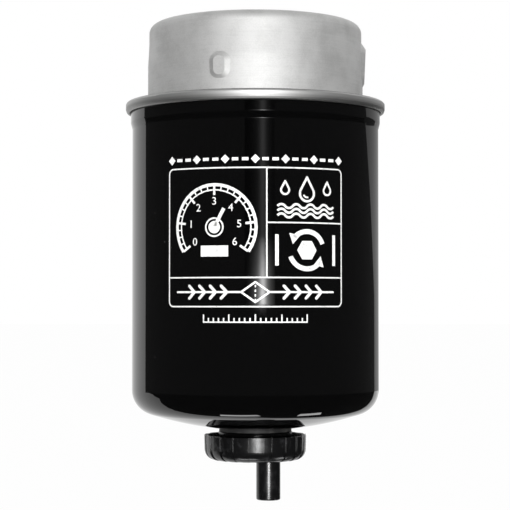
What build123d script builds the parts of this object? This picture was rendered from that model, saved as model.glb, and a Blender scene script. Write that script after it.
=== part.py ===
"""Keyed quick-change fuel water separator: a steel collar seamed to a painted can, a pleated
element inside, and a screw-down drain valve under the can. Millimetres, +Z up, the origin on
the axis in the plane of the collar's top face. The front of the cartridge faces -Y."""

import os
from math import asin, cos, degrees, pi, radians, sin, sqrt

from build123d import *

os.makedirs("parts", exist_ok=True)

# Collar: a drawn steel cup, open at the mouth
collar_sheet = 0.55
collar_height = 26.1
collar_flange = 7.7
collar_shoulder = 3.1
collar_root_bend = 1.0
draw_line_depth = 7.0
draw_step = 0.4
draw_step_height = 7.0
draw_step_bend = 4.0
mouth_radius = 20.0
mouth_bend = 1.2
mouth_lip_depth = 3.4

# Key lugs pressed out of the collar, angles taken from the front towards +X
lug_proud = 0.8
lug_flank = 1.3
lug_lean = 2.5
lug_corner_share = 0.45
narrow_lug_angle = -18.3
narrow_lug_width = 6.4
narrow_lug_height = 8.5
narrow_lug_drop = 17.8
tall_lug_angles = (86.0, 190.0)
tall_lug_width = 9.0
tall_lug_height = 14.0
tall_lug_drop = 14.0

# Rolled seam between the collar and the can
seam_radius = 43.0
seam_height = 3.45
seam_top_round = 0.85
seam_wall_drop = 2.35
seam_tuck = 0.3
seam_gap = 0.04
seam_seal_thickness = 0.3
cover_hook_length = 1.85
body_hook_length = 1.25
fold_share = 0.48

# Can: painted steel, a wider band under the seam, a domed bottom
can_sheet = 0.4
band_step = 0.53
band_height = 6.8
band_taper = 2.05
can_height = 108.2
can_corner = 8.2
dome_radius = 115.0

# Drain neck through the can bottom, clamped by a nut inside
neck_radius = 12.23
neck_shoulder = 1.83
neck_wall = 1.34
neck_length = 6.75
neck_web = 1.5
neck_hole_clearance = 0.15
neck_edge_round = 0.4
gasket_thickness = 0.9
gasket_inset = 0.25
seat_clearance = 0.03
nut_wall = 2.1
nut_height = 3.2
nut_chamfer = 0.5
valve_hole_radius = 3.5

# Drain knob: dished cap, stem, plug and nipple in one moulding
knob_dish_gap = 3.19
knob_draft = 0.24
knob_corner = 3.6
knob_height = 8.15
knob_wall = 1.3
knob_floor = 1.7
knob_gap = 0.9
rib_count = 20
first_rib_angle = 5.5
flute_depth = 0.45
stem_clearance = 0.06
stem_shoulder_gap = 2.0
plug_clearance = 0.25
nipple_radius = 4.0
nipple_bore_radius = 2.4
nipple_offset = 4.3
nipple_length = 13.35
nipple_tip_round = 0.5

# O-rings on the stem and on its plug
stem_cord = 1.6
stem_ring_drop = 1.9
plug_cord = 0.9
plug_ring_drop = 0.85
ring_clearance = 0.05
groove_clearance = 0.1

# Filter element
cap_sheet = 0.5
cap_gap = 1.45
cap_rim_height = 4.5
cap_bend = 1.0
standoff_height = 4.4
standoff_radius = 1.4
standoff_inset = 1.7
standoff_count = 6
element_neck_radius = 11.8
element_neck_height = 16.0
outlet_lip = 2.3
bond_thickness = 1.6
bond_clearance = 0.05
pleat_tube_gap = 0.9
pleat_screen_gap = 0.7
pleat_count = 48
paper_thickness = 0.7
media_height = 79.8
tube_radius = 17.1
tube_sheet = 0.5
tube_slot_width = 5.0
tube_slot_height = 7.0
tube_slot_columns = 8
tube_slot_rows = 6
screen_inset = 0.1
screen_thickness = 0.4
clip_sheet = 0.35
clip_depth = 5.0
clip_clearance = 0.05
cap_dish_inset = 1.6
cap_dish_depth = 1.4

# Stamped finger spring under the element: a ring with tangential arms bent up to the end cap
spring_nut_gap = 0.95
spring_ring_width = 6.0
spring_sheet = 0.8
spring_arms = 4
spring_arm_width = 5.0
spring_arm_reach = 22.0
spring_toe = 4.0
spring_bend = 2.0

# Rubber grommets
mouth_grommet_wall = 3.5
mouth_grommet_flange = 3.5
mouth_grommet_depth = 4.8
mouth_grommet_rise = 0.8
outlet_grommet_wall = 2.0
outlet_grommet_depth = 5.0
outlet_grommet_rise = 0.9
grommet_grip = 1.6
grommet_lead_in = 0.6
grommet_clearance = 0.05

# Levels of the seam and the can, from the collar's top face down
collar_half = collar_sheet / 2
can_half = can_sheet / 2
seam_top = -collar_height
seam_bottom = seam_top - seam_height
flange_underside = seam_top - collar_sheet
body_fold_level = flange_underside - seam_seal_thickness - can_half
dome_pole = seam_top - can_height
dome_centre = dome_pole + dome_radius

# Collar and its mouth
collar_top_radius = seam_radius - collar_flange
collar_base_radius = collar_top_radius + draw_step
mouth_bore_radius = mouth_radius - mouth_grommet_wall
mouth_flange_radius = mouth_radius + mouth_grommet_flange

# Lugs: a flank's slope, its thickness measured level, and the radii where blocks and pockets start
lug_slope = lug_flank / lug_proud
lug_wall = collar_sheet * sqrt(1 + lug_slope**2)
lug_seat_radius = collar_base_radius - 0.9 * collar_sheet
lug_start_radius = collar_top_radius - 2 * collar_sheet

# Layers of the rolled seam, from outside in, on each sheet's middle line
cover_radius = seam_radius - collar_half
body_hook_radius = cover_radius - collar_half - seam_gap - can_half
cover_hook_radius = body_hook_radius - can_half - seam_gap - collar_half
band_radius = cover_hook_radius - collar_half - seam_gap
can_radius = band_radius - band_step
cover_fold = (cover_radius - seam_tuck - cover_hook_radius) * fold_share
body_fold = (body_hook_radius - band_radius + can_half) * fold_share

# Can bottom: a corner arc tangent to the wall and to the dome, on the sheet's middle line
wall_middle = can_radius - can_half
corner_middle = can_corner - can_half
dome_middle = dome_radius - can_half
dome_angle = degrees(asin((wall_middle - corner_middle) / (dome_middle - corner_middle)))
corner_level = dome_centre - (dome_middle - corner_middle) * cos(radians(dome_angle))
neck_barrel_radius = neck_radius - neck_shoulder
neck_bore_radius = neck_barrel_radius - neck_wall
neck_hole_radius = neck_barrel_radius + neck_hole_clearance
hole_angle = degrees(asin(neck_hole_radius / dome_middle))


def dome_floor(radius):
    """Height of the can's inside bottom at a radius."""
    return dome_centre - sqrt((dome_radius - can_sheet) ** 2 - radius**2)


def dome_underside(radius):
    """Height of the can's outside bottom at a radius."""
    return dome_centre - sqrt(dome_radius**2 - radius**2)


def facing_plane(angle, radius, level, lean=0):
    """Plane that faces outwards at an angle from the front, its Y axis up and leaning outwards."""
    turn = radians(angle)
    tip = radians(lean)
    foot = (radius * sin(turn), -radius * cos(turn), level)
    tangent = (cos(turn), sin(turn), 0)
    facing = (sin(turn) * cos(tip), -cos(turn) * cos(tip), -sin(tip))
    return Plane(origin=foot, x_dir=tangent, z_dir=facing)


# Drain valve: levels from the can bottom down and up, radii from the neck
nut_corner_radius = (neck_barrel_radius + nut_wall) * 2 / sqrt(3)
gasket_underside = dome_underside(neck_hole_radius) - gasket_thickness
neck_bottom = gasket_underside - neck_length
nut_underside = dome_floor(nut_corner_radius) + seat_clearance
neck_top = nut_underside + nut_height
web_underside = neck_top - neck_web
dish_floor = neck_bottom - knob_gap
knob_bottom = dish_floor - knob_floor
knob_rim = knob_bottom + knob_height
knob_base_radius = neck_radius + knob_dish_gap + knob_wall
knob_rim_radius = knob_base_radius + knob_draft
stem_radius = neck_bore_radius - stem_clearance
stem_top = web_underside - stem_shoulder_gap
plug_radius = valve_hole_radius - plug_clearance
stem_ring_level = stem_top - stem_ring_drop
stem_ring_radius = neck_bore_radius - ring_clearance - stem_cord / 2
plug_ring_level = neck_top - plug_ring_drop
plug_ring_radius = valve_hole_radius - ring_clearance - plug_cord / 2

# Element: radii from the can inwards, levels from the collar's flange down
cap_half = cap_sheet / 2
cap_radius = can_radius - can_sheet - cap_gap
bond_outer_radius = cap_radius - cap_sheet - cap_bend
bond_inner_radius = tube_radius + bond_clearance
screen_radius = bond_outer_radius - screen_inset
pleat_outer_radius = screen_radius - screen_thickness - pleat_screen_gap
pleat_inner_radius = tube_radius + pleat_tube_gap
outlet_mouth_radius = element_neck_radius - outlet_lip
outlet_bore_radius = outlet_mouth_radius - outlet_grommet_wall
cap_top = flange_underside - seat_clearance - standoff_height
top_bond_top = cap_top - cap_sheet
media_top = top_bond_top - bond_thickness
media_bottom = media_top - media_height
bottom_bond_bottom = media_bottom - bond_thickness
bottom_cap_underside = bottom_bond_bottom - cap_sheet
outlet_top = cap_top + element_neck_height

# Finger spring: its ring goes round the neck nut
spring_half = spring_sheet / 2
spring_inner_radius = nut_corner_radius + spring_nut_gap
spring_radius = spring_inner_radius + spring_ring_width / 2
spring_outer_radius = spring_inner_radius + spring_ring_width
spring_underside = dome_floor(spring_outer_radius) + seat_clearance
spring_toe_top = bottom_cap_underside - seat_clearance
cap_dish_radius = tube_radius - cap_dish_inset

# Key lugs: tapered obrounds that start inside the collar's wall, and the pockets pressed in behind
lugs = [(narrow_lug_angle, narrow_lug_width, narrow_lug_height, narrow_lug_drop)]
lugs += [(angle, tall_lug_width, tall_lug_height, tall_lug_drop) for angle in tall_lug_angles]


def lug_block(angle, width, height, drop, inset, depth):
    """One lug's tapered solid; the pocket behind it has an inset outline and stops a depth short."""
    face_radius = collar_base_radius + lug_proud - depth
    start_inset = lug_slope * (lug_start_radius - collar_base_radius) + inset
    face_inset = lug_slope * (lug_proud - depth) + inset
    outlines = []
    for radius, lean, shrink in ((lug_start_radius, 0, start_inset), (face_radius, lug_lean, face_inset)):
        with BuildSketch(facing_plane(angle, radius, -drop, lean)) as outline:
            span = width - 2 * shrink
            RectangleRounded(span, height - 2 * shrink, span * lug_corner_share)
        outlines.append(outline.sketch)
    return loft(outlines)


with BuildPart() as lug_blocks:
    for lug in lugs:
        lug_block(*lug, 0, 0)
    Cylinder(lug_seat_radius, 2 * collar_height, mode=Mode.SUBTRACT)
with BuildPart() as lug_pockets:
    for lug in lugs:
        lug_block(*lug, lug_wall, collar_sheet)

# Collar cup: the sheet's middle line from the mouth lip to the hook inside the seam
with BuildPart() as collar_cup:
    with BuildSketch(Plane.XZ):
        with BuildLine():
            FilletPolyline(
                (mouth_radius + collar_half, -mouth_lip_depth),
                (mouth_radius + collar_half, -collar_half),
                (collar_top_radius - collar_half, -collar_half),
                (collar_top_radius - collar_half, -draw_line_depth),
                (collar_base_radius - collar_half, -draw_line_depth - draw_step_height),
                (collar_base_radius - collar_half, seam_top - collar_half),
                (cover_radius, seam_top - collar_half),
                (cover_radius, seam_top - seam_wall_drop),
                (cover_radius - seam_tuck, seam_bottom + collar_half),
                (cover_hook_radius, seam_bottom + collar_half),
                (cover_hook_radius, seam_bottom + cover_hook_length),
                radius=(
                    mouth_bend,
                    collar_shoulder - collar_half,
                    draw_step_bend,
                    draw_step_bend,
                    collar_root_bend + collar_half,
                    seam_top_round - collar_half,
                    seam_top_round,
                    cover_fold,
                    cover_fold,
                ),
            )
        trace(line_width=collar_sheet)
    revolve(axis=Axis.Z)
    add(lug_blocks.part)
    add(lug_pockets.part, mode=Mode.SUBTRACT)
collar_cup.part.label = "collar_cup"
export_step(collar_cup.part, "parts/collar_cup.step")

# Sealing compound between the collar's flange and the can's folded edge
with BuildPart() as seam_seal:
    with BuildSketch(Plane.XZ):
        with Locations((band_radius, flange_underside - seam_gap)):
            Rectangle(
                seam_radius - seam_top_round - band_radius,
                seam_seal_thickness - 2 * seam_gap,
                align=(Align.MIN, Align.MAX),
            )
    revolve(axis=Axis.Z)
seam_seal.part.label = "seam_seal"
export_step(seam_seal.part, "parts/seam_seal.step")

# Can shell: the middle line runs from the hook in the seam down to the hole for the drain neck
with BuildPart() as can_shell:
    with BuildSketch(Plane.XZ):
        with BuildLine():
            wall = FilletPolyline(
                (body_hook_radius, body_fold_level - body_hook_length),
                (body_hook_radius, body_fold_level),
                (band_radius - can_half, body_fold_level),
                (band_radius - can_half, seam_top - band_height),
                (wall_middle, seam_top - band_height - band_taper),
                (wall_middle, corner_level),
                radius=(body_fold, body_fold, band_taper, band_taper),
            )
            corner = JernArc(wall @ 1, wall % 1, corner_middle, dome_angle - 90)
            JernArc(corner @ 1, corner % 1, dome_middle, hole_angle - dome_angle)
        trace(line_width=can_sheet)
    revolve(axis=Axis.Z)
can_shell.part.label = "can_shell"
export_step(can_shell.part, "parts/can_shell.step")

# Mouth grommet: a rubber ring that grips the collar's turned-down lip
lip_back = mouth_radius + collar_sheet + grommet_clearance
lip_front = mouth_radius - grommet_clearance
grommet_shoulder = -collar_sheet - mouth_bend
with BuildPart() as mouth_grommet:
    with BuildSketch(Plane.XZ):
        with BuildLine():
            Polyline(
                (mouth_bore_radius, -mouth_grommet_depth),
                (mouth_bore_radius, mouth_grommet_rise),
                (mouth_flange_radius, mouth_grommet_rise),
                (mouth_flange_radius, grommet_clearance),
                (lip_front, grommet_clearance),
                (lip_front, -mouth_lip_depth - grommet_clearance),
                (lip_back, -mouth_lip_depth - grommet_clearance),
                (lip_back, grommet_shoulder),
                (lip_back + grommet_grip, grommet_shoulder),
                (lip_back + grommet_grip, -mouth_grommet_depth),
                close=True,
            )
        make_face()
        fillet(vertices().sort_by_distance((lip_front, grommet_clearance))[0], mouth_bend)
        fillet(vertices().group_by(Axis.X)[0], grommet_lead_in)
        fillet(vertices().sort_by_distance((mouth_flange_radius, mouth_grommet_rise))[0], grommet_lead_in)
    revolve(axis=Axis.Z)
mouth_grommet.part.label = "mouth_grommet"
export_step(mouth_grommet.part, "parts/mouth_grommet.step")

# Top end cap: a stamped cup with a raised neck; formed standoffs carry it under the collar
with BuildPart() as top_end_cap:
    with BuildSketch(Plane.XZ):
        with BuildLine():
            FilletPolyline(
                (cap_radius - cap_half, top_bond_top - cap_rim_height),
                (cap_radius - cap_half, cap_top - cap_half),
                (element_neck_radius - cap_half, cap_top - cap_half),
                (element_neck_radius - cap_half, outlet_top - cap_half),
                (outlet_mouth_radius, outlet_top - cap_half),
                radius=cap_bend,
            )
        trace(line_width=cap_sheet)
    revolve(axis=Axis.Z)
    with BuildSketch(Plane.XY.offset(cap_top - cap_half)):
        with PolarLocations(cap_radius - standoff_inset, standoff_count):
            Circle(standoff_radius)
    extrude(amount=standoff_height + cap_half)
    with BuildSketch(Plane.XY.offset(top_bond_top)):
        with PolarLocations(cap_radius - standoff_inset, standoff_count):
            Circle(standoff_radius - cap_sheet)
    extrude(amount=standoff_height, mode=Mode.SUBTRACT)
top_end_cap.part.label = "top_end_cap"
export_step(top_end_cap.part, "parts/top_end_cap.step")

# Outlet grommet: seals the header's inner post in the element's neck
with BuildPart() as outlet_grommet:
    with BuildSketch(Plane.XZ):
        with BuildLine():
            Polyline(
                (outlet_bore_radius, outlet_top - outlet_grommet_depth),
                (outlet_bore_radius, outlet_top + outlet_grommet_rise),
                (element_neck_radius, outlet_top + outlet_grommet_rise),
                (element_neck_radius, outlet_top + grommet_clearance),
                (outlet_mouth_radius - grommet_clearance, outlet_top + grommet_clearance),
                (outlet_mouth_radius - grommet_clearance, outlet_top - cap_sheet - grommet_clearance),
                (outlet_mouth_radius + grommet_grip / 2, outlet_top - cap_sheet - grommet_clearance),
                (outlet_mouth_radius + grommet_grip / 2, outlet_top - cap_sheet - grommet_grip),
                (outlet_mouth_radius - grommet_clearance, outlet_top - outlet_grommet_depth),
                close=True,
            )
        make_face()
        fillet(vertices().group_by(Axis.X)[0], grommet_lead_in)
    revolve(axis=Axis.Z)
outlet_grommet.part.label = "outlet_grommet"
export_step(outlet_grommet.part, "parts/outlet_grommet.step")

# Adhesive discs that bond the pleats and the centre tube into the two end caps
with BuildPart() as top_bond:
    with BuildSketch(Plane.XY.offset(media_top)):
        Circle(bond_outer_radius)
        Circle(bond_inner_radius, mode=Mode.SUBTRACT)
    extrude(amount=bond_thickness)
top_bond.part.label = "top_bond"
export_step(top_bond.part, "parts/top_bond.step")

with BuildPart() as bottom_bond:
    with BuildSketch(Plane.XY.offset(bottom_bond_bottom)):
        Circle(bond_outer_radius)
        Circle(bond_inner_radius, mode=Mode.SUBTRACT)
    extrude(amount=bond_thickness)
bottom_bond.part.label = "bottom_bond"
export_step(bottom_bond.part, "parts/bottom_bond.step")

# Pleated media: a closed zigzag of paper, the folds rounded on their outer side
paper_half = paper_thickness / 2
fold_radii = (pleat_inner_radius + paper_half, pleat_outer_radius - paper_half)
fold_points = [
    (fold_radii[fold % 2] * cos(pi * fold / pleat_count), fold_radii[fold % 2] * sin(pi * fold / pleat_count))
    for fold in range(2 * pleat_count)
]
with BuildSketch(Plane.XY.offset(media_bottom)) as paper_inside:
    with BuildLine():
        Polyline(*fold_points, close=True)
    make_face()
    offset(amount=-paper_half)
with BuildPart() as pleated_media:
    with BuildSketch(Plane.XY.offset(media_bottom)):
        with BuildLine():
            Polyline(*fold_points, close=True)
        make_face()
        offset(amount=paper_half)
        add(paper_inside.sketch, mode=Mode.SUBTRACT)
    extrude(amount=media_height)
pleated_media.part.label = "pleated_media"
export_step(pleated_media.part, "parts/pleated_media.step")

# Pleat clip: a folded strip that closes the side seam of the pleats at one outer fold
seam_angle = 90 + 180 / pleat_count
clip_half_width = paper_half + clip_depth * fold_radii[0] * sin(pi / pleat_count) / (fold_radii[1] - fold_radii[0])
with BuildPart() as pleat_clip:
    with BuildSketch(Plane.XY.offset(media_bottom)):
        with PolarLocations(pleat_outer_radius + clip_clearance + clip_sheet, 1, start_angle=seam_angle - 90):
            Rectangle(
                clip_depth + clip_clearance + clip_sheet,
                2 * (clip_half_width + clip_clearance + clip_sheet),
                align=(Align.MAX, Align.CENTER),
            )
        with PolarLocations(pleat_outer_radius + clip_clearance, 1, start_angle=seam_angle - 90):
            Rectangle(
                clip_depth + clip_clearance,
                2 * (clip_half_width + clip_clearance),
                align=(Align.MAX, Align.CENTER),
                mode=Mode.SUBTRACT,
            )
    extrude(amount=media_height)
pleat_clip.part.label = "pleat_clip"
export_step(pleat_clip.part, "parts/pleat_clip.step")

# Centre tube: rolled steel with staggered rows of slots
slot_pitch = media_height / tube_slot_rows
with BuildPart() as centre_tube:
    with BuildSketch(Plane.XY.offset(bottom_bond_bottom)):
        Circle(tube_radius)
        Circle(tube_radius - tube_sheet, mode=Mode.SUBTRACT)
    extrude(amount=top_bond_top - bottom_bond_bottom)
    for row in range(tube_slot_rows):
        slot_level = media_bottom + (row + 0.5) * slot_pitch
        stagger = row % 2 * 180 / tube_slot_columns
        for column in range(tube_slot_columns):
            with BuildSketch(facing_plane(stagger + column * 360 / tube_slot_columns, 0, slot_level)):
                Rectangle(tube_slot_width, tube_slot_height)
            extrude(amount=2 * tube_radius, mode=Mode.SUBTRACT)
centre_tube.part.label = "centre_tube"
export_step(centre_tube.part, "parts/centre_tube.step")

# Water screen: a fine sleeve round the pleats that sheds the water
with BuildPart() as water_screen:
    with BuildSketch(Plane.XY.offset(media_bottom)):
        Circle(screen_radius)
        Circle(screen_radius - screen_thickness, mode=Mode.SUBTRACT)
    extrude(amount=media_height)
water_screen.part.label = "water_screen"
export_step(water_screen.part, "parts/water_screen.step")

# Bottom end cap: a closed stamped cup with a shallow dish that stiffens it
with BuildPart() as bottom_end_cap:
    with BuildSketch(Plane.XZ):
        with BuildLine():
            FilletPolyline(
                (cap_radius - cap_half, bottom_bond_bottom + cap_rim_height),
                (cap_radius - cap_half, bottom_cap_underside + cap_half),
                (cap_dish_radius, bottom_cap_underside + cap_half),
                (cap_dish_radius - cap_bend, bottom_cap_underside + cap_half - cap_dish_depth),
                (0, bottom_cap_underside + cap_half - cap_dish_depth),
                radius=cap_bend,
            )
        trace(line_width=cap_sheet)
        split(bisect_by=Plane.YZ, keep=Keep.TOP)
    revolve(axis=Axis.Z)
bottom_end_cap.part.label = "bottom_end_cap"
export_step(bottom_end_cap.part, "parts/bottom_end_cap.step")

# Element spring: the ring stands on the can bottom, each arm leaves it along a tangent
with BuildPart() as spring_arm:
    with BuildSketch(Plane.XZ.offset(-spring_radius - spring_arm_width / 2)):
        with BuildLine():
            FilletPolyline(
                (-spring_toe, spring_underside + spring_half),
                (spring_toe, spring_underside + spring_half),
                (spring_arm_reach - spring_toe, spring_toe_top - spring_half),
                (spring_arm_reach, spring_toe_top - spring_half),
                radius=spring_bend,
            )
        trace(line_width=spring_sheet)
    extrude(amount=spring_arm_width)
with BuildPart() as element_spring:
    with BuildSketch(Plane.XY.offset(spring_underside)):
        Circle(spring_outer_radius)
        Circle(spring_inner_radius, mode=Mode.SUBTRACT)
    extrude(amount=spring_sheet)
    with PolarLocations(0, spring_arms):
        add(spring_arm.part)
element_spring.part.label = "element_spring"
export_step(element_spring.part, "parts/element_spring.step")

# Neck nut: a hexagon that clamps the drain neck from inside the can
with BuildPart() as neck_nut:
    with BuildSketch(Plane.XY.offset(nut_underside)):
        RegularPolygon(nut_corner_radius, 6)
        Circle(neck_barrel_radius + seat_clearance, mode=Mode.SUBTRACT)
    extrude(amount=nut_height)
    chamfer(faces().sort_by(Axis.Z)[-1].outer_wire().edges(), nut_chamfer)
neck_nut.part.label = "neck_nut"
export_step(neck_nut.part, "parts/neck_nut.step")

# Neck gasket: its top follows the domed can bottom
gasket_inner_radius = neck_barrel_radius + seat_clearance
gasket_outer_radius = neck_radius - gasket_inset
with BuildPart() as neck_gasket:
    with BuildSketch(Plane.XZ):
        with BuildLine():
            Polyline(
                (gasket_inner_radius, dome_underside(gasket_inner_radius) - seat_clearance),
                (gasket_inner_radius, gasket_underside + seat_clearance),
                (gasket_outer_radius, gasket_underside + seat_clearance),
                (gasket_outer_radius, dome_underside(gasket_outer_radius) - seat_clearance),
            )
            RadiusArc(
                (gasket_outer_radius, dome_underside(gasket_outer_radius) - seat_clearance),
                (gasket_inner_radius, dome_underside(gasket_inner_radius) - seat_clearance),
                dome_radius,
            )
        make_face()
    revolve(axis=Axis.Z)
neck_gasket.part.label = "neck_gasket"
export_step(neck_gasket.part, "parts/neck_gasket.step")

# Drain neck: barrel through the can, web with the valve hole, wider sleeve below
with BuildPart() as drain_neck:
    with BuildSketch(Plane.XZ):
        with BuildLine():
            Polyline(
                (valve_hole_radius, neck_top),
                (neck_barrel_radius, neck_top),
                (neck_barrel_radius, gasket_underside),
                (neck_radius, gasket_underside),
                (neck_radius, neck_bottom),
                (neck_bore_radius, neck_bottom),
                (neck_bore_radius, web_underside),
                (valve_hole_radius, web_underside),
                close=True,
            )
        make_face()
        fillet(vertices().group_by(Axis.X)[-1], neck_edge_round)
    revolve(axis=Axis.Z)
drain_neck.part.label = "drain_neck"
export_step(drain_neck.part, "parts/drain_neck.step")

# Tool for one flute of the knob: full depth at the rim, fading out round the lower corner
flute_arc = 180 / rib_count
flute_top = knob_rim + knob_wall
flute_outside = knob_rim_radius + knob_wall
with BuildPart() as flute:
    with BuildSketch(Plane.XZ):
        with BuildLine():
            Polyline(
                (knob_base_radius - flute_depth, knob_bottom),
                (knob_rim_radius - flute_depth, flute_top),
                (flute_outside, flute_top),
                (flute_outside, knob_bottom - knob_wall),
                (stem_radius, knob_bottom - knob_wall),
                (stem_radius, knob_bottom),
                close=True,
            )
        make_face()
        fillet(vertices().sort_by_distance((knob_base_radius - flute_depth, knob_bottom))[0], knob_corner)
    revolve(axis=Axis.Z, revolution_arc=flute_arc)

# Drain knob: a dished cap with flutes between its ribs, the stem and plug above, the nipple below
stem_groove_radius = stem_ring_radius - stem_cord / 2 - groove_clearance
plug_groove_radius = plug_ring_radius - plug_cord / 2 - groove_clearance
with BuildPart() as drain_knob:
    with BuildSketch(Plane.XZ):
        with BuildLine():
            Polyline(
                (0, knob_bottom),
                (knob_base_radius, knob_bottom),
                (knob_rim_radius, knob_rim),
                (knob_rim_radius - knob_wall, knob_rim),
                (knob_base_radius - knob_wall, dish_floor),
                (stem_radius, dish_floor),
                (stem_radius, stem_top),
                (plug_radius, stem_top),
                (plug_radius, neck_top),
                (0, neck_top),
                close=True,
            )
        make_face()
        fillet(vertices().sort_by_distance((knob_base_radius, knob_bottom))[0], knob_corner)
    revolve(axis=Axis.Z)
    with PolarLocations(0, rib_count, start_angle=first_rib_angle - 90 + flute_arc / 2):
        add(flute.part, mode=Mode.SUBTRACT)
    with BuildSketch(Plane.XZ):
        with Locations((stem_groove_radius, stem_ring_level)):
            Rectangle(stem_radius, stem_cord + 2 * groove_clearance, align=(Align.MIN, Align.CENTER))
        with Locations((plug_groove_radius, plug_ring_level)):
            Rectangle(plug_radius, plug_cord + 2 * groove_clearance, align=(Align.MIN, Align.CENTER))
    revolve(axis=Axis.Z, mode=Mode.SUBTRACT)
    with BuildSketch(Plane.XY.offset(knob_bottom)):
        with Locations((nipple_offset, 0)):
            Circle(nipple_radius)
    extrude(amount=-nipple_length)
    fillet(faces().sort_by(Axis.Z)[0].outer_wire().edges(), nipple_tip_round)
    with BuildSketch(Plane.XY.offset(knob_bottom - nipple_length)):
        with Locations((nipple_offset, 0)):
            Circle(nipple_bore_radius)
    extrude(amount=stem_top - knob_bottom + nipple_length, mode=Mode.SUBTRACT)
drain_knob.part.label = "drain_knob"
export_step(drain_knob.part, "parts/drain_knob.step")

# O-rings that travel with the knob
with BuildPart() as stem_o_ring:
    with BuildSketch(Plane.XZ):
        with Locations((stem_ring_radius, stem_ring_level)):
            Circle(stem_cord / 2)
    revolve(axis=Axis.Z)
stem_o_ring.part.label = "stem_o_ring"
export_step(stem_o_ring.part, "parts/stem_o_ring.step")

with BuildPart() as plug_o_ring:
    with BuildSketch(Plane.XZ):
        with Locations((plug_ring_radius, plug_ring_level)):
            Circle(plug_cord / 2)
    revolve(axis=Axis.Z)
plug_o_ring.part.label = "plug_o_ring"
export_step(plug_o_ring.part, "parts/plug_o_ring.step")
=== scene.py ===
"""Dresses and lights a keyed quick-change fuel water separator: satin steel collar, gloss black
can with a white printed panel, and a black drain valve. Lengths are in metres, except in the flat
drawing of the panel, which is in millimetres. The front of the cartridge faces -Y."""

import logging
import math
from dataclasses import dataclass, field
from enum import Enum

import bmesh
import bpy
from mathutils import Matrix, Vector


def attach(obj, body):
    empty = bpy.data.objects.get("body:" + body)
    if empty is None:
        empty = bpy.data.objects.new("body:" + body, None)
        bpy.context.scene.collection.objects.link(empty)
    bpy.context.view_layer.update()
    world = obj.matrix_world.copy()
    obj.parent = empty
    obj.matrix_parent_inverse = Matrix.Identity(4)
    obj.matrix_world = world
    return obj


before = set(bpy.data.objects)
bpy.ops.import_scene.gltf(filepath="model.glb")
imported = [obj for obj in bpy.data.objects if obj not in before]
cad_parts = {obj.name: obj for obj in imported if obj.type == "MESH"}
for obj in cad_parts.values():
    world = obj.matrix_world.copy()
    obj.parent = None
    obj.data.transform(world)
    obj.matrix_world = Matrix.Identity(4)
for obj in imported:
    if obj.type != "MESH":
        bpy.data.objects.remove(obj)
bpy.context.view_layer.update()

MM = 0.001
FLOOR_LEVEL = -0.205
log = logging.getLogger("separator")

Colour = tuple[float, float, float]
Place = tuple[float, float, float]
Point = tuple[float, float]


# Shader building


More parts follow.
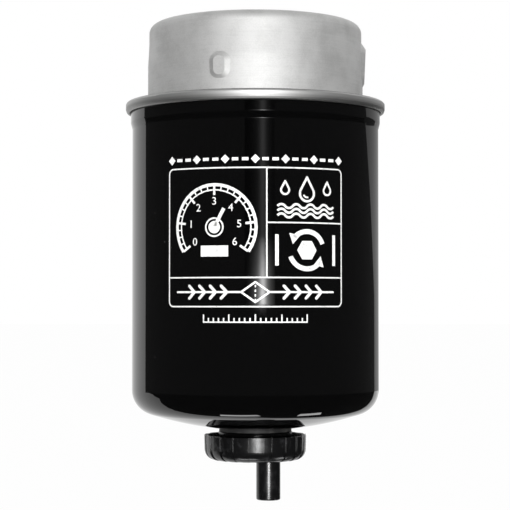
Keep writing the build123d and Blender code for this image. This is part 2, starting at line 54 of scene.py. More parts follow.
class Graph:
    """A material's node tree with short calls for the nodes that the finishes share."""

    def __init__(self, name: str) -> None:
        """Start an empty material with one Principled shader.

        Args:
            name: name of the new material.
        """
        self.material = bpy.data.materials.new(name)
        self.material.use_nodes = True
        self.tree = self.material.node_tree
        self.tree.nodes.clear()
        self.shader = self.tree.nodes.new("ShaderNodeBsdfPrincipled")
        self.output = self.tree.nodes.new("ShaderNodeOutputMaterial")
        self.show(self.shader.outputs[0])
        self.place = self.tree.nodes.new("ShaderNodeTexCoord").outputs["Object"]

    def show(self, shader: bpy.types.NodeSocket) -> None:
        """Make a shader the material's surface."""
        self.tree.links.new(shader, self.output.inputs["Surface"])

    def fill(self, socket: bpy.types.NodeSocket, value: float | Colour | bpy.types.NodeSocket) -> None:
        """Link a source to an input, or set the input to a constant.

        Args:
            socket: the input.
            value: another node's output, a number or a colour.
        """
        if isinstance(value, bpy.types.NodeSocket):
            self.tree.links.new(value, socket)
        else:
            socket.default_value = (*value, 1.0) if isinstance(value, tuple) else value

    def set(self, **values: float | Colour) -> None:
        """Set constant shader inputs.

        Args:
            values: inputs by socket name, with underscores for its spaces.
        """
        for key, value in values.items():
            self.fill(self.shader.inputs[key.replace("_", " ")], value)

    def feed(self, socket: str, source: bpy.types.NodeSocket) -> None:
        """Link an output to one of the shader's inputs."""
        self.tree.links.new(source, self.shader.inputs[socket])

    def math(self, operation: str, *values: float | bpy.types.NodeSocket) -> bpy.types.NodeSocket:
        """Add a Math node.

        Args:
            operation: the node's operation, such as MULTIPLY.
            values: its inputs in order, numbers or sockets.

        Returns:
            The node's output.
        """
        node = self.tree.nodes.new("ShaderNodeMath")
        node.operation = operation
        for index, value in enumerate(values):
            self.fill(node.inputs[index], value)
        return node.outputs[0]

    def part(self, axis: str, vector: bpy.types.NodeSocket | None = None) -> bpy.types.NodeSocket:
        """Take one part of a vector.

        Args:
            axis: X, Y or Z.
            vector: the vector, or Object coordinates when left out.

        Returns:
            That part.
        """
        node = self.tree.nodes.new("ShaderNodeSeparateXYZ")
        self.tree.links.new(vector or self.place, node.inputs[0])
        return node.outputs[axis]

    def stretch(self, scale: Place) -> bpy.types.NodeSocket:
        """Multiply Object coordinates along each axis.

        Args:
            scale: factor for each axis.

        Returns:
            The stretched coordinates.
        """
        node = self.tree.nodes.new("ShaderNodeMapping")
        node.inputs["Scale"].default_value = scale
        self.tree.links.new(self.place, node.inputs["Vector"])
        return node.outputs[0]

    def around(self, radius: float) -> bpy.types.NodeSocket:
        """Coordinates that follow a wall round the Z axis.

        Args:
            radius: radius at which one unit is a metre of arc.

        Returns:
            A vector of arc length, zero and height.
        """
        angle = self.math("ARCTAN2", self.part("X"), self.part("Y"))
        joined = self.tree.nodes.new("ShaderNodeCombineXYZ")
        self.tree.links.new(self.math("MULTIPLY", angle, radius), joined.inputs["X"])
        self.tree.links.new(self.part("Z"), joined.inputs["Z"])
        return joined.outputs[0]

    def radius(self) -> bpy.types.NodeSocket:
        """Measure the distance from the Z axis.

        Returns:
            The distance, in Object coordinates.
        """
        across, along = self.part("X"), self.part("Y")
        square = self.math("MULTIPLY", across, across)
        return self.math("SQRT", self.math("MULTIPLY_ADD", along, along, square))

    def noise(
        self, size: float, detail: float = 3.0, rough: float = 0.5, at: bpy.types.NodeSocket | None = None
    ) -> bpy.types.NodeSocket:
        """Add a Noise texture.

        Args:
            size: rough size of its features in metres.
            detail: number of finer octaves.
            rough: weight of the finer octaves.
            at: coordinates, or Object coordinates when left out.

        Returns:
            The noise value, about 0.5 on average.
        """
        node = self.tree.nodes.new("ShaderNodeTexNoise")
        node.inputs["Scale"].default_value = 1.0 / size
        node.inputs["Detail"].default_value = detail
        node.inputs["Roughness"].default_value = rough
        self.tree.links.new(at or self.place, node.inputs["Vector"])
        return node.outputs[0]

    def specks(self, spacing: float, share: float, radius: float) -> bpy.types.NodeSocket:
        """Scatter round specks.

        Args:
            spacing: size of the cells that may hold one speck each.
            share: share of the cells that hold one.
            radius: speck radius as a share of the cell.

        Returns:
            A mask, 1 in a speck and 0 elsewhere.
        """
        node = self.tree.nodes.new("ShaderNodeTexVoronoi")
        node.inputs["Scale"].default_value = 1.0 / spacing
        self.tree.links.new(self.place, node.inputs["Vector"])
        near = self.math("LESS_THAN", node.outputs["Distance"], radius)
        pick = self.tree.nodes.new("ShaderNodeSeparateColor")
        self.tree.links.new(node.outputs["Color"], pick.inputs[0])
        return self.math("MULTIPLY", near, self.math("LESS_THAN", pick.outputs[0], share))

    def step(self, value: bpy.types.NodeSocket, low: float, high: float) -> bpy.types.NodeSocket:
        """Smooth step of a value.

        Args:
            value: the value.
            low: where the step is 0.
            high: where it is 1.

        Returns:
            The step.
        """
        node = self.tree.nodes.new("ShaderNodeMapRange")
        node.interpolation_type = "SMOOTHSTEP"
        self.tree.links.new(value, node.inputs["Value"])
        node.inputs["From Min"].default_value = low
        node.inputs["From Max"].default_value = high
        return node.outputs[0]

    def between(self, value: bpy.types.NodeSocket, low: float, high: float) -> bpy.types.NodeSocket:
        """Spread a 0 to 1 value over another range.

        Args:
            value: the value.
            low: what 0 becomes.
            high: what 1 becomes.

        Returns:
            The value in the new range.
        """
        node = self.tree.nodes.new("ShaderNodeMapRange")
        self.tree.links.new(value, node.inputs["Value"])
        node.inputs["To Min"].default_value = low
        node.inputs["To Max"].default_value = high
        return node.outputs[0]

    def blend(
        self, factor: bpy.types.NodeSocket, first: Colour | bpy.types.NodeSocket, second: Colour
    ) -> bpy.types.NodeSocket:
        """Mix two colours.

        Args:
            factor: share of the second colour.
            first: a colour or a colour output.
            second: the other colour.

        Returns:
            The mixed colour.
        """
        node = self.tree.nodes.new("ShaderNodeMix")
        node.data_type = "RGBA"
        for index, value in ((0, factor), (6, first), (7, second)):
            self.fill(node.inputs[index], value)
        return node.outputs[2]

    def emit(self, strength: float | bpy.types.NodeSocket = 1.0) -> bpy.types.NodeSocket:
        """Add a white Emission shader.

        Args:
            strength: its strength, where 1 is white.

        Returns:
            The shader.
        """
        node = self.tree.nodes.new("ShaderNodeEmission")
        self.fill(node.inputs["Strength"], strength)
        return node.outputs[0]

    def mix(self, share: bpy.types.NodeSocket, *shaders: bpy.types.NodeSocket) -> bpy.types.NodeSocket:
        """Mix two shaders.

        Args:
            share: share of the second shader.
            shaders: the first and the second shader.

        Returns:
            The mixed shader.
        """
        node = self.tree.nodes.new("ShaderNodeMixShader")
        for index, source in enumerate((share, *shaders)):
            self.fill(node.inputs[index], source)
        return node.outputs[0]

    def bump(self, height: bpy.types.NodeSocket, depth: float, strength: float = 1.0) -> None:
        """Add a Bump node on top of the ones already there.

        Args:
            height: 0 to 1 height.
            depth: depth of a full step in metres.
            strength: share of the bump that shows.
        """
        node = self.tree.nodes.new("ShaderNodeBump")
        node.inputs["Strength"].default_value = strength
        node.inputs["Distance"].default_value = depth
        self.tree.links.new(height, node.inputs["Height"])
        normal = self.shader.inputs["Normal"]
        if normal.links:
            self.tree.links.new(normal.links[0].from_socket, node.inputs["Normal"])
        self.tree.links.new(node.outputs[0], normal)


# Finishes


@dataclass(frozen=True)
class SatinPlate:
    """Plated sheet steel with a fine grain. Heights and radii say where a die ironed it and where it is
    rolled into the seam. They also say where painted shade darkens the seam's groove line and the seam's
    underside."""

    name: str = "satin_plate"
    light: Colour = (0.62, 0.62, 0.615)
    dark: Colour = (0.495, 0.495, 0.49)
    roughness: float = 0.65
    metallic: float = 1.0
    grain: float = 0.35 * MM
    rolled_below: float | None = None
    rolled_roughness: float = 0.47
    rolled_tone: Colour = (0.52, 0.52, 0.515)
    # Painted shade: the seam's downward-facing lower half is blended to a darker tone.
    underside_shade_band: Point = (-27.3 * MM, -28.2 * MM)
    painted_underside_shade: Colour = (0.34, 0.34, 0.335)
    # Painted shade: a thin dark line on the seam's outer face next to the collar stands in for the groove's
    # shadow.
    groove_shade_band: Point = (-25.65 * MM, -26.35 * MM)
    groove_shade_radius: float = 42.3 * MM
    painted_groove_shade: Colour = (0.10, 0.10, 0.10)
    ironed: Point = (-12 * MM, -7 * MM)
    ironed_roughness: float = 0.02
    cloud_size: float = 9 * MM
    draw_size: float = 0.5 * MM
    draw_stretch: Place = (0.04, 0.04, 1.0)
    tone_shares: tuple[float, float, float] = (0.55, 0.30, 0.15)
    tone_range: Point = (0.32, 0.62)
    rough_swing: float = 0.06
    rolled_grain: float = 0.7 * MM
    rolled_blend: float = 0.5 * MM
    groove_shade_edge: float = 0.15 * MM
    grain_depth: float = 0.012 * MM
    draw_depth: float = 0.006 * MM

    def build(self) -> bpy.types.Material:
        """Make the material.

        Returns:
            A metal with cloudy tone, grain and faint draw marks.
        """
        graph = Graph(self.name)
        graph.set(Metallic=self.metallic)
        cloud = graph.noise(self.cloud_size, 4, 0.6)
        grain = graph.noise(self.grain, 2, 0.6)
        draw = graph.noise(self.draw_size, 2, 0.5, graph.stretch(self.draw_stretch))
        shared = [graph.math("MULTIPLY", *pair) for pair in zip((cloud, grain, draw), self.tone_shares)]
        tone = graph.math("ADD", graph.math("ADD", shared[0], shared[1]), shared[2])
        colour = graph.blend(graph.step(tone, *self.tone_range), self.dark, self.light)
        rough = graph.between(cloud, self.roughness - self.rough_swing, self.roughness + self.rough_swing)
        if self.rolled_below is not None:
            height = graph.part("Z")
            ironing = graph.math("MULTIPLY", graph.step(height, *self.ironed), self.ironed_roughness)
            rough = graph.math("ADD", rough, ironing)
            rolled = graph.step(height, self.rolled_below, self.rolled_below - self.rolled_blend)
            roughest = self.rolled_roughness + 2 * self.rough_swing
            shine = graph.between(graph.noise(self.rolled_grain), self.rolled_roughness, roughest)
            gap = graph.math("MULTIPLY", rolled, graph.math("SUBTRACT", shine, rough))
            rough = graph.math("ADD", rough, gap)
            graph.feed("Metallic", graph.between(rolled, self.metallic, 1.0))
            colour = graph.blend(rolled, colour, self.rolled_tone)
            # Painted shade: a darker tone blended in over the seam's lower half.
            colour = graph.blend(graph.step(height, *self.underside_shade_band), colour, self.painted_underside_shade)
            # Painted shade: a thin dark line at the seam's top, outside the groove radius, in place of the
            # groove's shadow.
            top, bottom = self.groove_shade_band
            over = graph.step(height, top, top - self.groove_shade_edge)
            under = graph.step(height, bottom, bottom + self.groove_shade_edge)
            inner = self.groove_shade_radius - 2 * self.groove_shade_edge
            rim = graph.step(graph.radius(), inner, self.groove_shade_radius)
            line = graph.math("MULTIPLY", graph.math("MULTIPLY", over, under), rim)
            colour = graph.blend(line, colour, self.painted_groove_shade)
        graph.feed("Base Color", colour)
        graph.feed("Roughness", rough)
        graph.bump(grain, self.grain_depth, 0.6)
        graph.bump(draw, self.draw_depth, 0.5)
        return graph.material


@dataclass(frozen=True)
class GlossEnamel:
    """Gloss black stoving enamel with a trace of orange peel and a little dust."""

    name: str = "gloss_enamel"
    colour: Colour = (0.0020, 0.0020, 0.0021)
    dust: Colour = (0.12, 0.12, 0.12)
    roughness: float = 0.028
    rough_swing: float = 0.01
    dust_spacing: float = 3.2 * MM
    dust_share: float = 0.12
    dust_radius: float = 0.05
    haze_size: float = 14 * MM
    peel_size: float = 5 * MM
    peel_depth: float = 0.008 * MM
    ripple_size: float = 1.1 * MM
    ripple_depth: float = 0.0008 * MM

    def build(self) -> bpy.types.Material:
        """Make the material.

        Returns:
            A deep black gloss.
        """
        graph = Graph(self.name)
        graph.set(IOR=1.5)
        specks = graph.specks(self.dust_spacing, self.dust_share, self.dust_radius)
        graph.feed("Base Color", graph.blend(specks, self.colour, self.dust))
        haze = graph.noise(self.haze_size, 4, 0.6)
        low, high = self.roughness - self.rough_swing, self.roughness + self.rough_swing
        graph.feed("Roughness", graph.between(haze, low, high))
        graph.bump(graph.noise(self.peel_size, 1, 0.4), self.peel_depth, 0.6)
        graph.bump(graph.noise(self.ripple_size, 1, 0.4), self.ripple_depth, 0.6)
        return graph.material


@dataclass(frozen=True)
class PrintedInk:
    """White screen ink, a little uneven, with pinholes."""

    name: str = "printed_ink"
    colour: Colour = (0.70, 0.70, 0.69)
    thin: Colour = (0.46, 0.46, 0.46)
    roughness: float = 0.38
    cover_size: float = 0.9 * MM
    thin_steps: Point = (0.52, 0.30)
    relief: float = 0.004 * MM
    pinhole: Colour = (0.05, 0.05, 0.05)
    pinhole_spacing: float = 0.8 * MM
    pinhole_share: float = 0.08
    pinhole_radius: float = 0.16

    def build(self) -> bpy.types.Material:
        """Make the material.

        Returns:
            A satin white that thins out in small spots.
        """
        graph = Graph(self.name)
        cover = graph.noise(self.cover_size, 3, 0.6)
        tone = graph.blend(graph.step(cover, *self.thin_steps), self.colour, self.thin)
        holes = graph.specks(self.pinhole_spacing, self.pinhole_share, self.pinhole_radius)
        graph.feed("Base Color", graph.blend(holes, tone, self.pinhole))
        graph.feed("Roughness", graph.between(cover, self.roughness - 0.08, self.roughness + 0.10))
        graph.bump(cover, self.relief, 0.6)
        return graph.material


@dataclass(frozen=True)
class Moulding:
    """Moulded black plastic: satin, with a fine skin texture and rubbed spots."""

    name: str = "black_moulding"
    colour: Colour = (0.0032, 0.0032, 0.0034)
    worn: Colour = (0.014, 0.014, 0.015)
    roughness: float = 0.20
    rub_size: float = 3 * MM
    rub_steps: Point = (0.52, 0.72)
    skin_size: float = 0.35 * MM
    skin_depth: float = 0.010 * MM
    swell_size: float = 2.4 * MM
    swell_depth: float = 0.012 * MM

    def build(self) -> bpy.types.Material:
        """Make the material.

        Returns:
            A satin black plastic.
        """
        graph = Graph(self.name)
        graph.set(IOR=1.52)
        rub = graph.noise(self.rub_size, 4, 0.65)
        rubbed = graph.step(rub, *self.rub_steps)
        graph.feed("Base Color", graph.blend(rubbed, self.colour, self.worn))
        graph.feed("Roughness", graph.between(rub, self.roughness - 0.05, self.roughness + 0.09))
        graph.bump(graph.noise(self.skin_size, 2), self.skin_depth, 0.5)
        graph.bump(graph.noise(self.swell_size, 2), self.swell_depth, 0.5)
        return graph.material


@dataclass(frozen=True)
class SoftRubber:
    """Moulded nitrile rubber, matt with a dusty bloom."""

    name: str = "soft_rubber"
    colour: Colour = (0.012, 0.012, 0.012)
    bloom: Colour = (0.040, 0.039, 0.037)
    roughness: float = 0.62
    bloom_size: float = 2.2 * MM
    bloom_steps: Point = (0.42, 0.72)
    skin_size: float = 0.25 * MM
    skin_depth: float = 0.02 * MM

    def build(self) -> bpy.types.Material:
        """Make the material.

        Returns:
            A matt black rubber.
        """
        graph = Graph(self.name)
        graph.set(IOR=1.5, Specular_IOR_Level=0.35)
        bloom = graph.noise(self.bloom_size, 5, 0.6)
        bloomed = graph.step(bloom, *self.bloom_steps)
        graph.feed("Base Color", graph.blend(bloomed, self.colour, self.bloom))
        graph.feed("Roughness", graph.between(bloom, self.roughness - 0.08, self.roughness + 0.12))
        graph.bump(graph.noise(self.skin_size, 2, 0.6), self.skin_depth, 0.5)
        return graph.material


@dataclass(frozen=True)
class Grained:
    """A plain material with two tones, used for the pieces inside."""

    name: str
    light: Colour
    dark: Colour
    roughness: float
    size: float
    metallic: float = 0.0
    depth: float = 0.02 * MM
    flow: Place = (1.0, 1.0, 1.0)

    def build(self) -> bpy.types.Material:
        """Make the material.

        Returns:
            A two-toned material whose grain follows the flow stretch.
        """
        graph = Graph(self.name)
        graph.set(Metallic=self.metallic)
        grain = graph.noise(self.size, 4, 0.6, graph.stretch(self.flow))
        graph.feed("Base Color", graph.blend(graph.step(grain, 0.3, 0.7), self.dark, self.light))
        graph.feed("Roughness", graph.between(grain, self.roughness + 0.07, self.roughness - 0.07))
        graph.bump(grain, self.depth, 0.6)
        return graph.material


@dataclass(frozen=True)
class Mesh:
    """Fine woven screen cloth: threads round the sleeve and along it."""

    name: str = "screen_mesh"
    thread: Colour = (0.78, 0.77, 0.72)
    hole: Colour = (0.18, 0.17, 0.15)
    pitch: float = 0.35 * MM
    radius: float = 37.4 * MM
    depth: float = 0.05 * MM

    def build(self) -> bpy.types.Material:
        """Make the material.

        Returns:
            A pale weave with dark holes.
        """
        graph = Graph(self.name)
        graph.set(Roughness=0.6)
        wall = graph.around(self.radius)
        turn = 2 * math.pi / self.pitch
        warp = graph.math("SINE", graph.math("MULTIPLY", graph.part("X", wall), turn))
        weft = graph.math("SINE", graph.math("MULTIPLY", graph.part("Z", wall), turn))
        weave = graph.between(graph.math("MAXIMUM", warp, weft), 0.0, 1.0)
        graph.feed("Base Color", graph.blend(graph.step(weave, 0.6, 0.1), self.thread, self.hole))
        graph.bump(weave, self.depth, 0.8)
        return graph.material


class Finish(Enum):
    """The finishes of the cartridge, each made once."""

    COLLAR = SatinPlate(name="collar_plate", metallic=0.85, rolled_below=-25.7 * MM)
    PRESSED = SatinPlate("pressed_plate", light=(0.66, 0.66, 0.64), dark=(0.50, 0.50, 0.48), roughness=0.40)
    ENAMEL = GlossEnamel()
    INK = PrintedInk()
    MOULDING = Moulding()
    RUBBER = SoftRubber()
    SCREEN = Mesh()
    COMPOUND = Grained("sealing_compound", (0.20, 0.19, 0.18), (0.10, 0.10, 0.09), 0.7, 1.0 * MM)
    BOND = Grained("end_cap_bond", (0.36, 0.13, 0.06), (0.22, 0.07, 0.03), 0.45, 2.0 * MM)
    PAPER = Grained(
        "pleat_paper", (0.76, 0.66, 0.44), (0.60, 0.50, 0.31), 0.9, 0.6 * MM, flow=(1.0, 1.0, 0.3)
    )
    SPRING = Grained("blued_spring", (0.34, 0.35, 0.38), (0.20, 0.21, 0.25), 0.35, 1.5 * MM, metallic=1.0)

    def material(self) -> bpy.types.Material:
        """The finish's material, built at its first use."""
        return bpy.data.materials.get(self.value.name) or self.value.build()


def dress(node: str, finish: Finish) -> None:
    """Give a CAD node a finish.

    Args:
        node: the node's name.
        finish: what all its faces get.
    """
    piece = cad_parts[node]
    piece.data.materials.clear()
    piece.data.materials.append(finish.material())
    log.info("dressed %s in %s", node, finish.name.lower())


def put(bm: bmesh.types.BMesh, name: str, finish: Finish, body: str, smooth: bool = True) -> None:
    """Turn a finished bmesh into a piece of the object.

    Args:
        bm: the mesh, in place, in metres; it is freed.
        name: the piece's name.
        finish: its finish.
        body: the CAD body that it moves with.
        smooth: whether its faces shade smooth.
    """
    bmesh.ops.recalc_face_normals(bm, faces=bm.faces)
    for face in bm.faces:
        face.smooth = smooth
    mesh = bpy.data.meshes.new(name)
    bm.to_mesh(mesh)
    bm.free()
    piece = bpy.data.objects.new(name, mesh)
    bpy.context.scene.collection.objects.link(piece)
    mesh.materials.append(finish.material())
    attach(piece, body)
    log.info("made %s with %d faces", name, len(mesh.polygons))


# Printed panel


def unit_square(bm: bmesh.types.BMesh) -> list[bmesh.types.BMVert]:
    """Add a square of side 1 round the origin, in the XY plane; its vertices are returned."""
    return bmesh.ops.create_grid(bm, x_segments=1, y_segments=1, size=0.5)["verts"]


def polar(at: Point, radius: float, angle: float) -> Point:
    """Find a point on a circle.

    Args:
        at: the circle's centre.
        radius: its radius.
        angle: anticlockwise angle from the right, in degrees.

    Returns:
        The point.
    """
    turn = math.radians(angle)
    spot = Vector(at) + Vector((math.cos(turn), math.sin(turn))) * radius
    return (spot.x, spot.y)


@dataclass
class InkSheet:
    """Flat white shapes that are then laid round the can. Flat positions are in millimetres of
    arc from the front line and of height from the sheet's middle, and layer_rise is in
    millimetres too."""

    can_radius: float = 40.85 * MM
    middle: float = -72.0 * MM
    film: float = 0.02 * MM
    lift: float = 0.012 * MM
    slice_width: float = 1.1 * MM
    cut_tolerance: float = 1e-9
    layer_rise: float = 0.00001
    arc_step: float = 9.0
    arc_fewest: int = 4
    joint_sides: int = 10
    drop_rise: float = 2.1
    figure_detail: int = 4
    layers: int = 0
    bm: bmesh.types.BMesh = field(default_factory=bmesh.new)

    def _settle(self, verts: list[bmesh.types.BMVert], at: Point, turn: float = 0.0) -> None:
        """Turn and move a new shape into its flat place, one hair above the last one.

        Args:
            verts: the shape's vertices, made round the origin in the XY plane, in millimetres.
            at: flat place in millimetres.
            turn: anticlockwise turn in degrees.
        """
        self.layers += 1
        place = Matrix.Translation((at[0] * MM, at[1] * MM, self.layers * self.layer_rise * MM))
        spin = Matrix.Rotation(math.radians(turn), 4, "Z")
        bmesh.ops.transform(self.bm, matrix=place @ spin @ Matrix.Scale(MM, 4), verts=verts)

    def block(self, at: Point, width: float, height: float, turn: float = 0.0) -> None:
        """Add a filled rectangle.

        Args:
            at: its middle in millimetres.
            width: its width.
            height: its height.
            turn: anticlockwise turn in degrees.
        """
        made = unit_square(self.bm)
        bmesh.ops.scale(self.bm, vec=(width, height, 1.0), verts=made)
        self._settle(made, at, turn)

    def bar(self, start: Point, end: Point, width: float) -> None:
        """Add a straight stroke with square ends.

        Args:
            start: one end in millimetres.
            end: the other end.
            width: stroke width.
        """
        run = Vector(end) - Vector(start)
        middle = (Vector(start) + Vector(end)) / 2
        self.block((middle.x, middle.y), run.length, width, math.degrees(math.atan2(run.y, run.x)))

    def disc(self, at: Point, radius: float, sides: int = 28, turn: float = 0.0) -> None:
        """Add a filled disc, or a regular polygon with few sides.

        Args:
            at: its middle in millimetres.
            radius: radius of its corners.
            sides: number of sides.
            turn: anticlockwise turn in degrees.
        """
        made = bmesh.ops.create_circle(self.bm, cap_ends=True, radius=radius, segments=sides)["verts"]
        self._settle(made, at, turn)

    def arc(self, at: Point, radius: float, width: float, start: float = 0.0, sweep: float = 360.0) -> None:
        """Add a curved stroke.

        Args:
            at: centre in millimetres.
            radius: radius of the stroke's middle.
            width: stroke width.
            start: first angle in degrees, anticlockwise from the right.
            sweep: angle covered in degrees.
        """
        inner = self.bm.verts.new((radius - width / 2, 0, 0))
        outer = self.bm.verts.new((radius + width / 2, 0, 0))
        edge = self.bm.edges.new((inner, outer))
        before = set(self.bm.verts) - {inner, outer}
        bmesh.ops.spin(
            self.bm,
            geom=[inner, outer, edge],
            cent=(0, 0, 0),
            axis=(0, 0, 1),
            angle=math.radians(sweep),
            steps=max(self.arc_fewest, round(abs(sweep) / self.arc_step)),
            use_merge=abs(sweep) >= 360,
        )
        self._settle([vert for vert in self.bm.verts if vert not in before], at, start)

    def stroke(self, points: list[Point], width: float) -> None:
        """Add a chain of straight strokes with round joints.

        Args:
            points: the chain's corners in millimetres.
            width: stroke width.
        """
        for start, end in zip(points, points[1:]):
            self.bar(start, end, width)
        for point in points:
            self.disc(point, width / 2, self.joint_sides)

    def drop(self, at: Point, radius: float, width: float) -> None:
        """Add the outline of a falling drop: an arc below, two straight flanks up to its point.

        Args:
            at: middle of the arc in millimetres.
            radius: radius of the arc.
            width: stroke width.
        """
        rise = self.drop_rise * radius
        lean = math.degrees(math.asin(radius / rise))
        self.arc(at, radius, width, 180 - lean, 180 + 2 * lean)
        across, up = radius * math.cos(math.radians(lean)), radius * math.sin(math.radians(lean))
        flanks = [(at[0] - across, at[1] + up), (at[0], at[1] + rise), (at[0] + across, at[1] + up)]
        self.stroke(flanks, width)

    def wave(self, start: Point, length: float, swing: float, turns: int, width: float) -> None:
        """Add a row of arcs that read as a wavy line.

        Args:
            start: left end in millimetres.
            length: length of the row.
            swing: radius of each arc.
            turns: number of whole waves.
            width: stroke width.
        """
        half = length / turns / 4
        lean = math.degrees(math.asin(min(1.0, half / swing)))
        sink = math.sqrt(max(0.0, swing**2 - half**2))
        for index in range(2 * turns):
            shift, flip = (-sink, 0) if index % 2 == 0 else (sink, 180)
            centre = (start[0] + half * (2 * index + 1), start[1] + shift)
            self.arc(centre, swing, width, 90 - lean + flip, 2 * lean)

    def frame_box(self, width: float, height: float, corner: float, line: float) -> None:
        """Add the outline of a rectangle with round corners, round the sheet's middle.

        Args:
            width: its width in millimetres.
            height: its height.
            corner: radius of its corners.
            line: stroke width.
        """
        across, up = width / 2 - corner, height / 2 - corner
        for sx, sy, start in ((1, 1, 0), (-1, 1, 90), (-1, -1, 180), (1, -1, 270)):
            self.arc((sx * across, sy * up), corner, line, start, 90)
        for side in (1, -1):
            edge, level = side * width / 2, side * height / 2
            self.bar((-across, level), (across, level), line)
            self.bar((edge, -up), (edge, up), line)

    def numeral(self, text: str, at: Point, height: float) -> None:
        """Add a plain figure.

        Args:
            text: the figure.
            at: its middle in millimetres.
            height: body size in millimetres.
        """
        curve = bpy.data.curves.new("numeral", "FONT")
        curve.body = text
        curve.size = height
        curve.align_x = "CENTER"
        curve.align_y = "CENTER"
        curve.resolution_u = self.figure_detail
        carrier = bpy.data.objects.new("numeral", curve)
        bpy.context.scene.collection.objects.link(carrier)
        bpy.context.view_layer.update()
        depsgraph = bpy.context.evaluated_depsgraph_get()
        flat = bpy.data.meshes.new_from_object(carrier.evaluated_get(depsgraph))
        before = set(self.bm.verts)
        self.bm.from_mesh(flat)
        self._settle([vert for vert in self.bm.verts if vert not in before], at)
        bpy.data.objects.remove(carrier)
        bpy.data.curves.remove(curve)
        bpy.data.meshes.remove(flat)

    def lay(self, name: str) -> None:
        """Cut the sheet into narrow slices, lay it round the can and give it thickness.

        Args:
            name: name of the printed piece.
        """
        reach = max(abs(vert.co.x) for vert in self.bm.verts)
        count = math.ceil(reach / self.slice_width)
        for index in range(-count, count + 1):
            bmesh.ops.bisect_plane(
                self.bm,
                geom=self.bm.verts[:] + self.bm.edges[:] + self.bm.faces[:],
                dist=self.cut_tolerance,
                plane_co=(index * self.slice_width, 0, 0),
                plane_no=(1, 0, 0),
            )
        bmesh.ops.triangulate(self.bm, faces=[face for face in self.bm.faces if len(face.verts) > 4])
        bmesh.ops.recalc_face_normals(self.bm, faces=self.bm.faces)
        turned = [face for face in self.bm.faces if face.normal.z < 0]
        bmesh.ops.reverse_faces(self.bm, faces=turned)
        skin = self.bm.faces[:]
        raised = bmesh.ops.extrude_face_region(self.bm, geom=skin, use_keep_orig=True)["geom"]
        top = [item for item in raised if isinstance(item, bmesh.types.BMVert)]
        bmesh.ops.translate(self.bm, vec=(0, 0, self.film), verts=top)
        for vert in self.bm.verts:
            angle = vert.co.x / self.can_radius
            radius = self.can_radius + self.lift + vert.co.z
            vert.co = (radius * math.sin(angle), -radius * math.cos(angle), self.middle + vert.co.y)
        put(self.bm, name, Finish.INK, "housing", smooth=False)


@dataclass(frozen=True)
class Dial:
    """Round gauge with ticks, plain figures and a needle, over a small filled window."""

    radius: float = 13.2
    rim: float = 0.95
    track_inset: float = 1.6
    line: float = 0.4
    first: float = 215.0
    sweep: float = 250.0
    ticks: int = 25
    figure_every: int = 4
    tick_inset: float = 0.2
    short_inset: float = 1.9
    long_inset: float = 3.2
    long_line: float = 0.7
    figure_inset: float = 5.2
    figure: float = 3.4
    needle_angle: float = 62.0
    needle_length: float = 6.6
    needle_line: float = 1.1
    hub: float = 1.9
    ring: float = 2.8
    ring_line: float = 0.5
    window_drop: float = 7.4
    window: Point = (9.0, 3.4)

    def draw(self, sheet: InkSheet, at: Point) -> None:
        """Draw the gauge.

        Args:
            sheet: the sheet to draw on.
            at: the gauge's middle in millimetres.
        """
        last = self.first - self.sweep
        sheet.arc(at, self.radius, self.rim, last, self.sweep)
        sheet.arc(at, self.radius - self.track_inset, self.line, last, self.sweep)
        for index in range(self.ticks):
            angle = self.first - index * self.sweep / (self.ticks - 1)
            major = index % self.figure_every == 0
            inset, line = (self.long_inset, self.long_line) if major else (self.short_inset, self.line)
            start = polar(at, self.radius - self.tick_inset, angle)
            sheet.bar(start, polar(at, self.radius - inset, angle), line)
            if major:
                spot = polar(at, self.radius - self.figure_inset, angle)
                sheet.numeral(str(index // self.figure_every), spot, self.figure)
        sheet.bar(at, polar(at, self.needle_length, self.needle_angle), self.needle_line)
        sheet.disc(at, self.hub)
        sheet.arc(at, self.ring, self.ring_line)
        sheet.block((at[0], at[1] - self.window_drop), *self.window)


@dataclass(frozen=True)
class Drops:
    """Drop with a glint between two small drops, over wavy lines."""

    radius: float = 2.4
    line: float = 0.7
    rise: float = 0.6
    glint_radius: float = 1.2
    glint_line: float = 0.5
    glint_angles: Point = (200.0, 90.0)
    small_radius: float = 1.3
    small_line: float = 0.6
    small_apart: float = 7.2
    small_rise: float = 1.6
    waves: int = 3
    wave_length: float = 19.2
    wave_swing: float = 1.5
    wave_turns: int = 4
    wave_drop: float = 3.4
    wave_gap: float = 1.45

    def draw(self, sheet: InkSheet, at: Point) -> None:
        """Draw the drops and the waves.

        Args:
            sheet: the sheet to draw on.
            at: the motif's middle in millimetres.
        """
        x, y = at
        sheet.drop((x, y + self.rise), self.radius, self.line)
        sheet.arc((x, y + self.rise), self.glint_radius, self.glint_line, *self.glint_angles)
        for side in (-1, 1):
            spot = (x + side * self.small_apart, y + self.small_rise)
            sheet.drop(spot, self.small_radius, self.small_line)
        for index in range(self.waves):
            start = (x - self.wave_length / 2, y - self.wave_drop - self.wave_gap * index)
            sheet.wave(start, self.wave_length, self.wave_swing, self.wave_turns, self.line)


@dataclass(frozen=True)
class Turning:
    """Filled hexagon inside two turning arrows, between two upright bars."""

    hexagon: float = 3.3
    hexagon_turn: float = 30.0
    radius: float = 5.8
    line: float = 1.5
    starts: Point = (20.0, 200.0)
    sweep: float = 118.0
    head: float = 2.1
    head_turn: float = 30.0
    bar_apart: float = 9.8
    bar_reach: float = 4.8
    bar_line: float = 1.1

    def draw(self, sheet: InkSheet, at: Point) -> None:
        """Draw the hexagon, the arrows and the bars.

        Args:
            sheet: the sheet to draw on.
            at: the motif's middle in millimetres.
        """
        sheet.disc(at, self.hexagon, 6, self.hexagon_turn)
        for start in self.starts:
            end = start + self.sweep
            sheet.arc(at, self.radius, self.line, start, self.sweep)
            sheet.disc(polar(at, self.radius, end), self.head, 3, end + self.head_turn)
        for side in (-1, 1):
            edge = at[0] + side * self.bar_apart
            sheet.bar((edge, at[1] - self.bar_reach), (edge, at[1] + self.bar_reach), self.bar_line)


